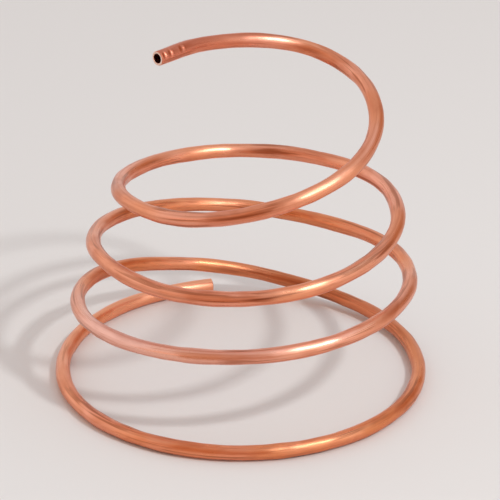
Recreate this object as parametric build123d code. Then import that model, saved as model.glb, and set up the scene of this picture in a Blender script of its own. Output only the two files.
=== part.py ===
from build123d import *
import math
import os

# One length of soft copper tube, wound into a spiral of about four turns and pulled
# open upwards into a cone. It stands on its widest turn, which lies on the floor.
# Both ends are cut square and open. Millimetres, +Z up, floor at z = 0.

# tube
TUBE_DIAMETER = 6.0
WALL = 1.0

# the winding runs counter-clockwise, seen from above, from the foot up
FOOT_ANGLE = 109.5
TOTAL_ANGLE = 1465.5
ARC_ANGLE = 30.0

# a short straight length of tube before and after the winding
FOOT_STRAIGHT = 12.0
TOP_STRAIGHT = 12.0

# radius of the tube's centre line at the foot, and how much each turn draws in
FOOT_RADIUS = 77.0
LOWER_TAPER = 6.0
UPPER_TAPER = 11.0
LOWER_TURNS = 2.5

# how far the winding's axis has moved towards +X at the top
LEAN = 5.0

# how high the centre line is lifted above the foot, at each eighth of a turn
FOOT_TURN = [0, 0, 0, 0, 0, 0, 0.5, 4]
SECOND_TURN = [15, 27.5, 33.5, 37.5, 40, 42, 41.5, 40.5]
THIRD_TURN = [46.5, 54.5, 60, 60, 62.5, 68, 72.5, 73]
TOP_TURN = [74.5, 78, 83.5, 87.5, 96, 106, 118.5, 126]
TOP_END = [128, 128]
LIFTS = FOOT_TURN + SECOND_TURN + THIRD_TURN + TOP_TURN + TOP_END
LIFT_ANGLE = 45.0

# the top end is pulled out of the round: over this last part of the winding it moves
# a little aside, towards the front and up
PULL_ANGLE = 100.0
PULL_ASIDE = 0.9
PULL_FORWARD = 18.8
PULL_UP = 6.7

# two points this many degrees apart give the tube's direction between them
NEARBY = 0.1


def lift(turned):
    """Height above the foot turn, on a smooth curve through the listed lifts."""
    place = turned / LIFT_ANGLE
    first = math.floor(place)
    f = place - first
    near = [LIFTS[min(max(first + k, 0), len(LIFTS) - 1)] for k in (-1, 0, 1, 2)]
    slope_in = (near[2] - near[0]) / 2
    slope_out = (near[3] - near[1]) / 2
    rise = f * f * (3 - 2 * f)
    return (
        near[1] * (1 - rise) + near[2] * rise
        + f * (1 - f) ** 2 * slope_in
        - f * f * (1 - f) * slope_out
    )


def centre(turned):
    """Point of the tube's centre line, at an angle wound up from the foot."""
    turns = turned / 360
    radius = FOOT_RADIUS - LOWER_TAPER * turns
    radius -= (UPPER_TAPER - LOWER_TAPER) * max(0, turns - LOWER_TURNS)
    angle = math.radians(FOOT_ANGLE + turned)
    f = min(1, max(0, 1 - (TOTAL_ANGLE - turned) / PULL_ANGLE))
    pulled = f * f * (3 - 2 * f)
    return Vector(
        radius * math.cos(angle) + LEAN * turned / TOTAL_ANGLE + PULL_ASIDE * pulled,
        radius * math.sin(angle) - PULL_FORWARD * pulled,
        TUBE_DIAMETER / 2 + lift(turned) + PULL_UP * pulled,
    )


def direction(turned):
    return (centre(turned + NEARBY / 2) - centre(turned - NEARBY / 2)).normalized()


def arc_pair(start, start_dir, end, end_dir):
    """Two tangent arcs from one point and direction to the next."""
    chord = end - start
    both = start_dir + end_dir
    a = 4 - both.dot(both)
    b = 2 * chord.dot(both)
    c = -chord.dot(chord)
    reach = (-b + math.sqrt(b * b - 4 * a * c)) / (2 * a)
    middle = (start + start_dir * reach + end - end_dir * reach) / 2
    return [
        Edge.make_tangent_arc(start, start_dir, middle),
        Edge.make_tangent_arc(end, end_dir * -1, middle),
    ]


# the centre line: the winding in tangent arcs, and a straight run at each end
steps = round(TOTAL_ANGLE / ARC_ANGLE)
angles = [TOTAL_ANGLE * k / steps for k in range(steps + 1)]
points = [centre(angle) for angle in angles]
directions = [direction(angle) for angle in angles]

foot_tip = points[0] - directions[0] * FOOT_STRAIGHT
top_tip = points[-1] + directions[-1] * TOP_STRAIGHT
runs = [Edge.make_line(foot_tip, points[0])]
for k in range(steps):
    runs += arc_pair(points[k], directions[k], points[k + 1], directions[k + 1])
runs.append(Edge.make_line(points[-1], top_tip))
path = Wire(runs)

# the ring of the tube's section, swept along it
cut_end = Plane(origin=path @ 0, z_dir=path % 0)
section = cut_end * (Circle(TUBE_DIAMETER / 2) - Circle(TUBE_DIAMETER / 2 - WALL))
tube = sweep(section, path=path)

# the coil's own box is centred over the origin
box = tube.bounding_box()
tube = tube.moved(Location((-box.center().X, -box.center().Y, -box.min.Z)))

os.makedirs("parts", exist_ok=True)
export_step(tube, "parts/copper_tube.step")
print(len(tube.solids()), "solid", len(tube.faces()), "faces")
print("box", [round(side, 2) for side in tube.bounding_box().size])
print("moved", round(-box.center().X, 2), round(-box.center().Y, 2), round(-box.min.Z, 2))
print("volume", round(tube.volume, 1), "length", round(path.length, 1))
print("section times length", round(section.area * path.length, 1))
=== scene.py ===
import math

import bpy
import numpy as np
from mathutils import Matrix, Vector


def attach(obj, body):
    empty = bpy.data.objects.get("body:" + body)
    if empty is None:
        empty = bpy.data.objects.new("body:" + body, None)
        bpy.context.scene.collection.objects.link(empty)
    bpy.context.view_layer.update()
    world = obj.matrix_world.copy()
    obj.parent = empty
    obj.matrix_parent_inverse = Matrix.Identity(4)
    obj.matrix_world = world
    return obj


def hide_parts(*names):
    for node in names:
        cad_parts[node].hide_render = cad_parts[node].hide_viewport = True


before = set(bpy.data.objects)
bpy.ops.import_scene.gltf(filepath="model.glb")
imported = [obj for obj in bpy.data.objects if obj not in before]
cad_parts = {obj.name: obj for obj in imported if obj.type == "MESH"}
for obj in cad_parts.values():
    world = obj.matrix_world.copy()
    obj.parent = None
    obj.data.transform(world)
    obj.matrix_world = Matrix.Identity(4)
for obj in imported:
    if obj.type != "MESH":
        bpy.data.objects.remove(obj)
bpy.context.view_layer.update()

MM = 0.001

# the tube and its winding, as in the part: metres and degrees
TUBE_RADIUS = 3.0 * MM
WALL = 1.0 * MM
FOOT_ANGLE = 109.5
TOTAL_ANGLE = 1465.5
FOOT_STRAIGHT = 12.0 * MM
TOP_STRAIGHT = 12.0 * MM
FOOT_RADIUS = 77.0 * MM
LOWER_TAPER = 6.0 * MM
UPPER_TAPER = 11.0 * MM
LOWER_TURNS = 2.5
LEAN = 5.0 * MM
LIFT_ANGLE = 45.0
PULL_ANGLE = 100.0
PULL_ASIDE = 0.9 * MM
PULL_FORWARD = 18.8 * MM
PULL_UP = 6.7 * MM
FOOT_TURN = [0, 0, 0, 0, 0, 0, 0.5, 4]
SECOND_TURN = [15, 27.5, 33.5, 37.5, 40, 42, 41.5, 40.5]
THIRD_TURN = [46.5, 54.5, 60, 60, 62.5, 68, 72.5, 73]
TOP_TURN = [74.5, 78, 83.5, 87.5, 96, 106, 118.5, 126]
TOP_END = [128, 128]
LIFTS = np.array(FOOT_TURN + SECOND_TURN + THIRD_TURN + TOP_TURN + TOP_END) * MM

# mesh: ring spacing along the tube, finer near its ends, points round a ring, how many
# of the outer rings pass for each one in the bore, and the winding's step in degrees
RING_STEP = 1.4 * MM
FINE_STEP = 0.25 * MM
FINE_LENGTH = 20.0 * MM
SIDES = 44
BORE_SKIP = 4
WINDING_STEP = 0.1

# profile of a cut end, from the outside over the rim into the bore, in millimetres:
# (distance from the end, radius), and how near the end the freshly cut face is
RIM = [(0.22, 3.0), (0.10, 2.97), (0.03, 2.89), (0.0, 2.78),
       (0.0, 2.50), (0.0, 2.20), (0.04, 2.09), (0.12, 2.02), (0.25, 2.0)]
CUT_FACE = 0.05 * MM

# all that follows for the skin is in millimetres, unless it says degrees
SEED = 7

# the tube is a little oval: how much, and how far and how slowly the oval turns
OVAL = 0.025
OVAL_SWING = 2.2
OVAL_REACH = 90

# lengths of the ripples that bending by hand leaves, and height to length
RIPPLES = [9, 13, 16, 21, 29, 38]
RIPPLE_SLOPE = 0.0022

# small dents from handling: how many, how far from the ends, then the least and the most
# of half length, angle round the tube, half width in degrees and depth
DENTS = 26
DENT_MARGIN = 40
DENT_SIZES = [(1.5, 5), (0, 360), (10, 30), (0.02, 0.07)]

# a dent's raised edge: height to depth, place and sharpness
RAISED_EDGE = (0.2, 1.7, 1.8)

# nicks near the top end: distance from the end and half length, angle round the tube
# (0 outwards, 90 up) and half width in degrees, depth
TOP_NICKS = [
    (1.9, 0.70, 150, 34, 0.24),
    (5.2, 0.75, 155, 30, 0.26),
    (11.6, 0.95, 146, 26, 0.26),
]

# the tube cutter's ring near the top end (distance from it, half width, depth), and the
# lip that the cutter pressed in (length, depth)
CUTTER_RING = (0.9, 0.22, 0.07)
LIP = (0.9, 0.12)

# brown staining and draw marks, with painted shade among them: one entry is a painted shadow
# of the turn above, two are a painted dark reflection beside a highlight; from and to along
# the winding, angle round the tube and half width, all in degrees, strength
STAINS_AND_SHADE = [
    (302, 334, 150, 40, 0.60),
    # painted shadow of the turn above, which cuts the highlight off
    (337, 357, 170, 28, 0.75),
    (575, 600, 58, 22, 0.30),
    (640, 690, 182, 22, 0.30),
    (752, 764, 142, 26, 0.35),
    (840, 872, 5, 10, 0.40),
    (866, 884, 38, 6, 0.60),
    # this entry and the next: a painted dark reflection beside the highlight
    (877, 891, 17, 7, 1.00),
    (887, 901, 27, 7, 1.00),
    (926, 946, 67, 8, 0.50),
    (1040, 1062, 157, 30, 0.32),
    (1104, 1120, 152, 10, 0.50),
    (1205, 1240, 46, 8, 0.45),
    (1224, 1248, 12, 8, 0.80),
    (1378, 1400, 165, 16, 0.35),
]


def lift(turned):
    """Height of the centre line above the foot turn, smooth through LIFTS."""
    place = turned / LIFT_ANGLE
    first = np.floor(place).astype(int)
    f = place - first
    last = len(LIFTS) - 1
    a, b, c, d = (LIFTS[np.clip(first + k, 0, last)] for k in (-1, 0, 1, 2))
    rise = f * f * (3 - 2 * f)
    slopes = f * (1 - f) ** 2 * (c - a) / 2 - f * f * (1 - f) * (d - b) / 2
    return b * (1 - rise) + c * rise + slopes


def winding(turned):
    """Points of the centre line at the angles wound up from the foot."""
    turns = turned / 360
    radius = FOOT_RADIUS - LOWER_TAPER * turns
    radius -= (UPPER_TAPER - LOWER_TAPER) * np.maximum(0, turns - LOWER_TURNS)
    angle = np.radians(FOOT_ANGLE + turned)
    f = np.clip(1 - (TOTAL_ANGLE - turned) / PULL_ANGLE, 0, 1)
    pulled = f * f * (3 - 2 * f)
    x = radius * np.cos(angle) + LEAN * turned / TOTAL_ANGLE + PULL_ASIDE * pulled
    y = radius * np.sin(angle) - PULL_FORWARD * pulled
    return np.stack([x, y, TUBE_RADIUS + lift(turned) + PULL_UP * pulled], -1)


def unit(v):
    """The vectors v at length 1."""
    return v / np.linalg.norm(v, axis=-1, keepdims=True)


def centre_line():
    """The rings' places along the tube and their centres, the tube's length, and the
    winding's angles with the place along the tube that each one has."""
    turned = np.arange(0, TOTAL_ANGLE + WINDING_STEP / 2, WINDING_STEP)
    points = winding(turned)
    foot_dir = unit(points[0] - points[1])
    top_dir = unit(points[-1] - points[-2])
    dense = np.concatenate([[points[0] + foot_dir * FOOT_STRAIGHT], points,
                            [points[-1] + top_dir * TOP_STRAIGHT]])
    along = np.concatenate([[0], np.cumsum(np.linalg.norm(np.diff(dense, axis=0), axis=1))])
    length = along[-1]
    middle = np.linspace(FINE_LENGTH, length - FINE_LENGTH,
                         round((length - 2 * FINE_LENGTH) / RING_STEP))
    ends = np.arange(0, FINE_LENGTH, FINE_STEP)
    places = np.concatenate([ends, middle, (length - ends)[::-1]])
    line = np.stack([np.interp(places, along, dense[:, k]) for k in range(3)], -1)
    return places, line, length, (turned, along[1:-1])


def ring_frames(line, axis_x):
    """For each point the tube's direction, the way out from the coil and the way up."""
    ahead = unit(np.gradient(line, axis=0))
    out = line - np.stack([axis_x, np.zeros(len(line)), line[:, 2]], -1)
    out = unit(out - ahead * (out * ahead).sum(-1, keepdims=True))
    up = np.cross(ahead, out)
    up *= np.sign(up[:, 2:3])
    return ahead, out, up


def bell(x):
    """1 at 0, and smoothly down to nothing on both sides."""
    return np.exp(-x * x)


def degrees_from(angle, theta):
    """How far round the tube theta, in radians, lies from an angle in degrees."""
    return (np.degrees(theta) - angle + 180) % 360 - 180


def waves(along, theta, rng):
    """Slow ripples over the tube's surface, as bending by hand leaves them."""
    total = np.zeros_like(along + theta)
    for length in RIPPLES:
        turns = rng.integers(0, 3)
        phase = rng.uniform(0, 2 * math.pi, 2)
        total += length * RIPPLE_SLOPE * (np.sin(2 * math.pi * along / length + phase[0])
                                          * np.cos(turns * theta + phase[1]))
    return total


def dent(from_middle, theta, half_length, angle, half_width, depth):
    """Height of one dent with its raised edge; from_middle is along the tube."""
    across = degrees_from(angle, theta) / half_width
    reach = np.sqrt((from_middle / half_length) ** 2 + across ** 2)
    height, place, sharpness = RAISED_EDGE
    return (height * bell((reach - place) * sharpness) - bell(reach)) * depth


def skin(along, theta, length):
    """How far the outer surface stands out from a true cylinder, in metres."""
    rng = np.random.default_rng(SEED)
    along, length = along / MM, length / MM
    oval = rng.uniform(0, 2 * math.pi)
    out = OVAL * np.cos(2 * theta + oval + OVAL_SWING * np.sin(along / OVAL_REACH))
    out += waves(along, theta, rng)
    for _ in range(DENTS):
        middle = rng.uniform(DENT_MARGIN, length - DENT_MARGIN)
        sizes = [rng.uniform(least, most) for least, most in DENT_SIZES]
        out += dent(along - middle, theta, *sizes)
    to_top = length - along
    for middle, *sizes in TOP_NICKS:
        out += dent(to_top - middle, theta, *sizes)
    middle, half_width, depth = CUTTER_RING
    out -= depth * bell((to_top - middle) / half_width)
    reach, depth = LIP
    out -= depth * np.clip(1 - to_top / reach, 0, 1) ** 2
    return out * MM


def stained_and_shaded(along, theta, wound):
    """Strength of the staining and of the painted shade over the outer surface."""
    total = np.zeros_like(along + theta)
    for start, end, angle, half_width, strength in STAINS_AND_SHADE:
        first, last = np.interp([start, end], *wound)
        lengthwise = bell((2 * along - first - last) / (last - first))
        total += strength * lengthwise * bell(degrees_from(angle, theta) / half_width)
    return np.minimum(total, 1)


def closed_mesh(rings):
    """A mesh through all the rings in turn, the last one joined to the first."""
    verts = np.concatenate(rings)
    low, high = verts.min(0), verts.max(0)
    verts -= [(low[0] + high[0]) / 2, (low[1] + high[1]) / 2, low[2]]
    count = len(rings)
    k = np.arange(SIDES)
    n = (k + 1) % SIDES
    faces = [np.stack([i * SIDES + k, i * SIDES + n,
                       (i + 1) % count * SIDES + n, (i + 1) % count * SIDES + k], -1)
             for i in range(count)]
    mesh = bpy.data.meshes.new("copper_coil")
    mesh.from_pydata(verts.tolist(), [], np.concatenate(faces).tolist())
    mesh.update()
    mesh.polygons.foreach_set("use_smooth", [True] * len(mesh.polygons))
    return mesh


def build_tube():
    """The coil: the outer skin up to the top rim, the bore back down and the foot rim."""
    places, line, length, wound = centre_line()
    ahead, out, up = ring_frames(line, LEAN * places / length)
    theta = np.arange(SIDES) * 2 * math.pi / SIDES
    bump = skin(places[:, None], theta[None, :], length)
    # staining, with a painted shadow and a painted dark reflection among it
    stain_and_shade = stained_and_shaded(places[:, None], theta[None, :], wound)
    smooth, clean = np.zeros(SIDES), np.zeros(SIDES)
    rings, straight, around, cut, stain_and_shade_rings = [], [], [], [], []

    def ring(i, radius, along, shape, brown, is_cut):
        """One ring about the line at place i, and what the material reads there."""
        sideways, upwards = np.cos(theta)[:, None], np.sin(theta)[:, None]
        centre = line[i] + ahead[i] * (along - places[i])
        rings.append(centre + (radius + shape)[:, None] * (sideways * out[i] + upwards * up[i]))
        around.append(sideways * up[i] - upwards * out[i])
        straight.append(np.stack([np.cos(theta) * radius, np.sin(theta) * radius,
                                  np.full(SIDES, along)], -1))
        stain_and_shade_rings.append(brown)
        cut.append(float(is_cut))

    rim = [(distance * MM, radius * MM) for distance, radius in RIM]
    last = len(places) - 1
    outer = [i for i in range(len(places)) if rim[0][0] < places[i] < length - rim[0][0]]
    bore = [i for n, i in enumerate(outer)
            if n % BORE_SKIP == 0 or places[i] > length - FINE_LENGTH]
    for i in outer:
        ring(i, TUBE_RADIUS, places[i], bump[i], stain_and_shade[i], False)
    for distance, radius in rim:
        outside = radius > TUBE_RADIUS - WALL / 2
        ring(last, radius, length - distance, bump[last] * outside, clean, distance < CUT_FACE)
    for i in reversed(bore[1:-1]):
        ring(i, TUBE_RADIUS - WALL, places[i], smooth, clean, False)
    for distance, radius in reversed(rim):
        ring(0, radius, distance, smooth, clean, distance < CUT_FACE)

    mesh = closed_mesh(rings)
    for name, values in (("straight", straight), ("around", around)):
        attribute = mesh.attributes.new(name, "FLOAT_VECTOR", "POINT")
        attribute.data.foreach_set("vector", np.concatenate(values).astype(np.float32).ravel())
    # the last attribute holds the staining together with the painted shade
    for name, values in (("cut", np.repeat(cut, SIDES)), ("stain_and_shade", np.concatenate(stain_and_shade_rings))):
        attribute = mesh.attributes.new(name, "FLOAT", "POINT")
        attribute.data.foreach_set("value", values.astype(np.float32))
    coil = bpy.data.objects.new("copper_coil", mesh)
    bpy.context.scene.collection.objects.link(coil)
    return coil


class Tree:
    """Short calls for making and linking a material's nodes."""

    def __init__(self, tree):
        self.nodes, self.links = tree.nodes, tree.links

    def put(self, socket, value):
        if isinstance(value, bpy.types.NodeSocket):
            self.links.new(value, socket)
        elif socket.type == "RGBA":
            socket.default_value = (*value, 1)
        else:
            socket.default_value = value

    def attribute(self, name, output):
        node = self.nodes.new("ShaderNodeAttribute")
        node.attribute_name = name
        return node.outputs[output]

    def math(self, operation, a, b):
        node = self.nodes.new("ShaderNodeMath")
        node.operation = operation
        self.put(node.inputs[0], a)
        self.put(node.inputs[1], b)
        return node.outputs[0]

    def vector_math(self, operation, a, b):
        node = self.nodes.new("ShaderNodeVectorMath")
        node.operation = operation
        self.put(node.inputs[0], a)
        self.put(node.inputs[1], b)
        return node

    def noise(self, place, grain, scale, detail, roughness, distortion):
        node = self.nodes.new("ShaderNodeTexNoise")
        self.put(node.inputs["Vector"], self.vector_math("MULTIPLY", place, grain).outputs[0])
        self.put(node.inputs["Scale"], scale)
        self.put(node.inputs["Detail"], detail)
        self.put(node.inputs["Roughness"], roughness)
        self.put(node.inputs["Distortion"], distortion)
        return node.outputs["Fac"]

    def ramp(self, value, low, high, to_low=0.0, to_high=1.0):
        node = self.nodes.new("ShaderNodeMapRange")
        node.interpolation_type = "SMOOTHSTEP"
        self.put(node.inputs["Value"], value)
        self.put(node.inputs["From Min"], low)
        self.put(node.inputs["From Max"], high)
        self.put(node.inputs["To Min"], to_low)
        self.put(node.inputs["To Max"], to_high)
        return node.outputs["Result"]

    def stretch(self, along, start, end):
        """Rises at the start of a stretch of the tube and falls at its end."""
        return self.math("MULTIPLY", self.ramp(along, *start), self.ramp(along, *end))

    def mix(self, factor, a, b):
        node = self.nodes.new("ShaderNodeMix")
        node.data_type = "RGBA"
        self.put(node.inputs["Factor"], factor)
        sockets = [i for i in node.inputs if i.type == "RGBA"]
        self.put(sockets[0], a)
        self.put(sockets[1], b)
        return [o for o in node.outputs if o.type == "RGBA"][0]

    def bump(self, height, distance, normal):
        node = self.nodes.new("ShaderNodeBump")
        self.put(node.inputs["Distance"], distance)
        self.put(node.inputs["Strength"], 1.0)
        self.put(node.inputs["Height"], height)
        if normal is not None:
            self.put(node.inputs["Normal"], normal)
        return node.outputs["Normal"]


# noise over the tube: grain across, across and along it, scale, detail, roughness, distortion
STREAKS = ((1, 1, 0.025), 1100, 4, 0.6, 0)
LINES = ((1, 1, 0.045), 620, 2, 0.5, 0)
HAIRLINES = ((1, 1, 0.012), 3600, 2, 0.5, 0)
BLOTCHES = ((1, 1, 0.4), 170, 4, 0.5, 0.4)
TONE = ((0.6, 0.6, 1), 22, 3, 0.5, 0)
FLECKS = ((1, 1, 0.5), 1500, 3, 0.6, 0)

# the copper's colours
ORANGE = (0.835, 0.280, 0.117)
PINK = (0.905, 0.380, 0.253)
BLOTCH = (0.67, 0.20, 0.09)
HAZE = (0.93, 0.66, 0.60)
BROWN = (0.58, 0.17, 0.07)
STREAK = (0.62, 0.19, 0.09)
DRAW_MARK = (0.40, 0.115, 0.048)
FLECK = (0.40, 0.12, 0.06)
FRESH_COPPER = (0.98, 0.41, 0.225)
# painted shade, for the upper side of the top end
PAINTED_SHADE_COPPER = (0.60, 0.155, 0.085)
# brown staining, also the colour of the painted shadow and the painted dark reflection listed with
# it
STAIN_AND_SHADE_COLOUR = (0.27, 0.075, 0.035)
CUT_COPPER = (0.94, 0.70, 0.59)

# how its tone changes along the tube: from and to, in metres from the foot end, and the
# values before and after
PINK_CHANGES = [(0.50, 0.62, 0.1, 0.6), (0.06, 0.30, 0.5, 0), (0.76, 0.83, 0, -0.6),
                (0.92, 1.02, 0, 0.55)]
HAZY_STRETCH = [(0.54, 0.62, 0, 0.38), (0.65, 0.72, 1, 0.1)]
BROWN_STRETCH = [(0.31, 0.37, 0, 0.5), (0.44, 0.47, 1, 0)]
FRESH_FOOT = (0.03, 0.17, 0.75, 0)
# painted shade: the copper goes darker towards the top end
SHADED_TOP_STRETCH = (1.575, 1.63, 0, 0.75)

# painted shade: the top end is darker on its upper side, by height from the tube's middle in metres
SHADED_UPPER_SIDE = (-0.0022, 0.0008, 0.2, 1)

# how the noise shows in the colour and in the gloss: from and to, values below and above
PINK_TONE = (0.35, 0.65, -0.35, 0.35)
BLOTCH_SHARE = (0.45, 0.72, 0, 0.7)
STREAK_SHARE = (0.50, 0.66, 0, 0.45)
DRAW_SHARE = (0.54, 0.62, 0, 0.68)
DRAW_TONE = (0.41, 0.53, 0, 1)
FLECK_SHARE = (0.68, 0.78, 0, 0.35)
STAIN_AND_SHADE_STREAKS = (0.3, 0.6, 0.5, 1)
BLOTCH_ROUGHNESS = (0.3, 0.7, 0.28, 0.35)
STREAK_ROUGHNESS = (0.35, 0.65, -0.03, 0.07)

# gloss: highlights are wide across the tube and short along it
ANISOTROPY = 0.7
EDGE_TINT = 0.94
CUT_ROUGHNESS = 0.2

# depth of the relief
BLOTCH_RELIEF = 0.06 * MM
STREAK_RELIEF = 0.025 * MM
HAIRLINE_RELIEF = 0.004 * MM


def copper_colour(t, place, streaks, blotches, cut):
    """The copper's colour over the tube, one mark laid over the other."""
    apart = t.nodes.new("ShaderNodeSeparateXYZ")
    t.put(apart.inputs[0], place)
    height, along = apart.outputs["Y"], apart.outputs["Z"]
    lines = t.noise(place, *LINES)
    tone = t.noise(place, *TONE)
    flecks = t.noise(place, *FLECKS)

    pink = t.ramp(tone, *PINK_TONE)
    for change in PINK_CHANGES:
        pink = t.math("ADD", pink, t.ramp(along, *change))
    drawn = t.math("MULTIPLY", t.ramp(lines, *DRAW_SHARE), t.ramp(tone, *DRAW_TONE))
    # painted shade on the upper side of the top end
    top_shade = t.math("MULTIPLY", t.ramp(along, *SHADED_TOP_STRETCH), t.ramp(height, *SHADED_UPPER_SIDE))
    # staining, with a painted shadow and a painted dark reflection among it
    stain_and_shade = t.math("MULTIPLY", t.attribute("stain_and_shade", "Fac"), t.ramp(streaks, *STAIN_AND_SHADE_STREAKS))

    colour = t.mix(pink, ORANGE, PINK)
    for share, other in (
        (t.ramp(blotches, *BLOTCH_SHARE), BLOTCH),
        (t.stretch(along, *HAZY_STRETCH), HAZE),
        (t.stretch(along, *BROWN_STRETCH), BROWN),
        (t.ramp(streaks, *STREAK_SHARE), STREAK),
        (drawn, DRAW_MARK),
        (t.ramp(flecks, *FLECK_SHARE), FLECK),
        (t.ramp(along, *FRESH_FOOT), FRESH_COPPER),
        (top_shade, PAINTED_SHADE_COPPER),
        (stain_and_shade, STAIN_AND_SHADE_COLOUR),
        (cut, CUT_COPPER),
    ):
        colour = t.mix(share, colour, other)
    return colour


def copper():
    """Drawn soft copper: streaks along the tube, handling marks, uneven tone."""
    material = bpy.data.materials.new("copper")
    material.use_nodes = True
    shader = material.node_tree.nodes["Principled BSDF"]
    t = Tree(material.node_tree)
    place = t.attribute("straight", "Vector")
    cut = t.attribute("cut", "Fac")
    streaks = t.noise(place, *STREAKS)
    hairlines = t.noise(place, *HAIRLINES)
    blotches = t.noise(place, *BLOTCHES)
    t.put(shader.inputs["Base Color"], copper_colour(t, place, streaks, blotches, cut))

    rough = t.math("ADD", t.ramp(blotches, *BLOTCH_ROUGHNESS), t.ramp(streaks, *STREAK_ROUGHNESS))
    rough = t.math("ADD", rough, t.math("MULTIPLY", cut, CUT_ROUGHNESS))
    t.put(shader.inputs["Roughness"], rough)
    t.put(shader.inputs["Metallic"], 1.0)
    t.put(shader.inputs["Specular Tint"], (EDGE_TINT, EDGE_TINT, EDGE_TINT))

    t.put(shader.inputs["Anisotropic"], ANISOTROPY)
    turned = t.nodes.new("ShaderNodeVectorTransform")
    turned.vector_type = "VECTOR"
    turned.convert_from = "OBJECT"
    turned.convert_to = "WORLD"
    t.put(turned.inputs[0], t.attribute("around", "Vector"))
    t.put(shader.inputs["Tangent"], turned.outputs[0])

    normal = t.bump(blotches, BLOTCH_RELIEF, None)
    normal = t.bump(streaks, STREAK_RELIEF, normal)
    normal = t.bump(hairlines, HAIRLINE_RELIEF, normal)
    t.put(shader.inputs["Normal"], normal)
    return material


def card(name, corners):
    """A flat sheet of the studio: the object and its shader."""
    mesh = bpy.data.meshes.new(name)
    mesh.from_pydata(corners, [], [(0, 1, 2, 3)])
    obj = bpy.data.objects.new(name, mesh)
    bpy.context.scene.collection.objects.link(obj)
    material = bpy.data.materials.new(name)
    material.use_nodes = True
    mesh.materials.append(material)
    return obj, material.node_tree.nodes["Principled BSDF"]


FLOOR_HALF = 8.0
FLOOR_COLOUR = (0.760, 0.697, 0.662, 1)
FLOOR_ROUGHNESS = 0.9
FLOOR_SPECULAR = 0.1


def floor():
    """The pale matte floor, wide enough to reach past the view."""
    s = FLOOR_HALF
    _, shader = card("floor", [(-s, -s, 0), (s, -s, 0), (s, s, 0), (-s, s, 0)])
    shader.inputs["Base Color"].default_value = FLOOR_COLOUR
    shader.inputs["Roughness"].default_value = FLOOR_ROUGHNESS
    shader.inputs["Specular IOR Level"].default_value = FLOOR_SPECULAR


# a dark card in front of the coil, seen only in the copper
FLAG_LEFT = -0.13
FLAG_RIGHT = 0.05
FLAG_Y = -0.18
FLAG_BOTTOM = 0.001
FLAG_TOP = 0.09
FLAG_COLOUR = (0.54, 0.29, 0.16, 1)


def flag():
    """The dark card: the camera and the floor don't see it, and it casts no shadow."""
    obj, shader = card("flag", [(FLAG_LEFT, FLAG_Y, FLAG_BOTTOM), (FLAG_RIGHT, FLAG_Y, FLAG_BOTTOM),
                                (FLAG_RIGHT, FLAG_Y, FLAG_TOP), (FLAG_LEFT, FLAG_Y, FLAG_TOP)])
    shader.inputs["Base Color"].default_value = (0, 0, 0, 1)
    shader.inputs["Specular IOR Level"].default_value = 0.0
    shader.inputs["Emission Color"].default_value = FLAG_COLOUR
    shader.inputs["Emission Strength"].default_value = 1.0
    obj.visible_camera = False
    obj.visible_diffuse = False
    obj.visible_shadow = False


def heading(azimuth, elevation):
    """Unit vector: azimuth 0 towards the camera's side (-Y), 90 to the right (+X)."""
    a, e = math.radians(azimuth), math.radians(elevation)
    return Vector((math.sin(a) * math.cos(e), -math.cos(a) * math.cos(e), math.sin(e)))


# the key lamp twice, as the floor shows it and as the copper does: name, azimuth, elevation,
# distance, width, power, colour, seen in the copper
LAMPS = [
    ("key", 48, 46, 1.5, 0.10, 8.2, (0.88, 0.98, 1.02), False),
    ("key_in_copper", 51, 49, 1.5, 0.55, 8.3, (0.87, 1.03, 1.22), True),
]
LAMP_AIM = Vector((0, 0, 0.06))


def lamp(name, azimuth, elevation, distance, width, power, colour, in_copper):
    """One square lamp, which lights either the copper or the floor."""
    data = bpy.data.lights.new(name, "AREA")
    data.shape = "SQUARE"
    data.size = width
    data.energy = power
    data.color = colour
    obj = bpy.data.objects.new(name, data)
    obj.visible_glossy = in_copper
    obj.visible_diffuse = not in_copper
    bpy.context.scene.collection.objects.link(obj)
    obj.location = LAMP_AIM + heading(azimuth, elevation) * distance
    obj.rotation_euler = (LAMP_AIM - obj.location).to_track_quat("-Z", "Y").to_euler()


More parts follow.
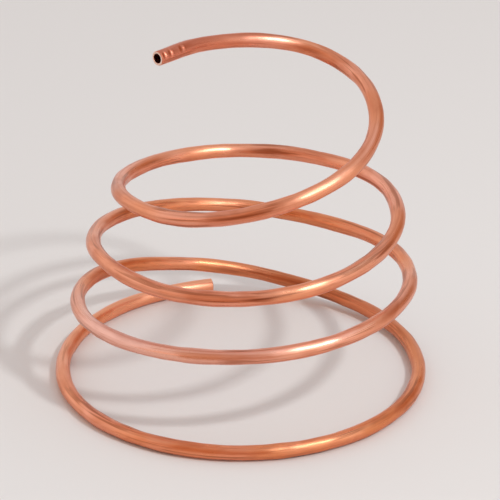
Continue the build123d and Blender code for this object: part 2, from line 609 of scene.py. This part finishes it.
# the studio round the coil, with soft patches of light and shade in it: azimuth, elevation,
# inner and outer angle, colour
ROOM = (0.72, 0.70, 0.70)
ROOM_PATCHES = [
    (180, -5, 20, 50, (0.84, 0.90, 0.94)),
    (-105, 14, 20, 52, (0.98, 1.02, 1.05)),
    (-52, 5, 8, 30, (0.98, 0.78, 0.66)),
    (48, 0, 10, 42, (1.14, 1.12, 1.08)),
    (95, 66, 8, 32, (0.88, 1.10, 1.30)),
    (50, 34, 8, 32, (1.02, 1.26, 1.38)),
    (-28, 44, 6, 30, (0.64, 0.41, 0.26)),
    (-9, 4, 12, 30, (0.64, 0.36, 0.20)),
    (126, 17, 6, 32, (0.50, 0.30, 0.17)),
]
BACKDROP = (0.725, 0.690, 0.668)


def room():
    """The world: the room for the light and the copper, the plain backdrop for the camera."""
    world = bpy.data.worlds.new("studio")
    bpy.context.scene.world = world
    world.use_nodes = True
    t = Tree(world.node_tree)
    direction = t.nodes.new("ShaderNodeVectorMath")
    direction.operation = "NORMALIZE"
    t.put(direction.inputs[0], t.nodes.new("ShaderNodeTexCoord").outputs["Generated"])
    colour = ROOM
    for azimuth, elevation, inner, outer, patch in ROOM_PATCHES:
        towards = heading(azimuth, elevation)
        near = t.vector_math("DOT_PRODUCT", direction.outputs[0], towards).outputs["Value"]
        share = t.ramp(near, math.cos(math.radians(outer)), math.cos(math.radians(inner)))
        colour = t.mix(share, colour, patch)
    seen = t.nodes.new("ShaderNodeLightPath").outputs["Is Camera Ray"]
    t.put(t.nodes["Background"].inputs["Color"], t.mix(seen, colour, BACKDROP))


# the camera stands where the photo was taken from, with the whole coil in its frame
VIEW_ELEVATION = 23.0
VIEW_DISTANCE = 0.900
PHOTO_AIM = Vector((4.8 * MM, -1.1 * MM, 87.6 * MM))
FRAME_AIM = Vector((4.0 * MM, -1.1 * MM, 56.0 * MM))
SENSOR = 36.0
LENS = 160.0
VIEW_END = 20.0


def camera():
    data = bpy.data.cameras.new("camera")
    data.sensor_width = SENSOR
    data.lens = LENS
    data.clip_end = VIEW_END
    obj = bpy.data.objects.new("camera", data)
    bpy.context.scene.collection.objects.link(obj)
    obj.location = PHOTO_AIM + heading(0, VIEW_ELEVATION) * VIEW_DISTANCE
    obj.rotation_euler = (FRAME_AIM - obj.location).to_track_quat("-Z", "Y").to_euler()
    bpy.context.scene.camera = obj


coil = build_tube()
coil.data.materials.append(copper())
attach(coil, "root")
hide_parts("copper_tube")
floor()
room()
for settings in LAMPS:
    lamp(*settings)
flag()
camera()
bpy.context.scene.view_settings.view_transform = "Standard"
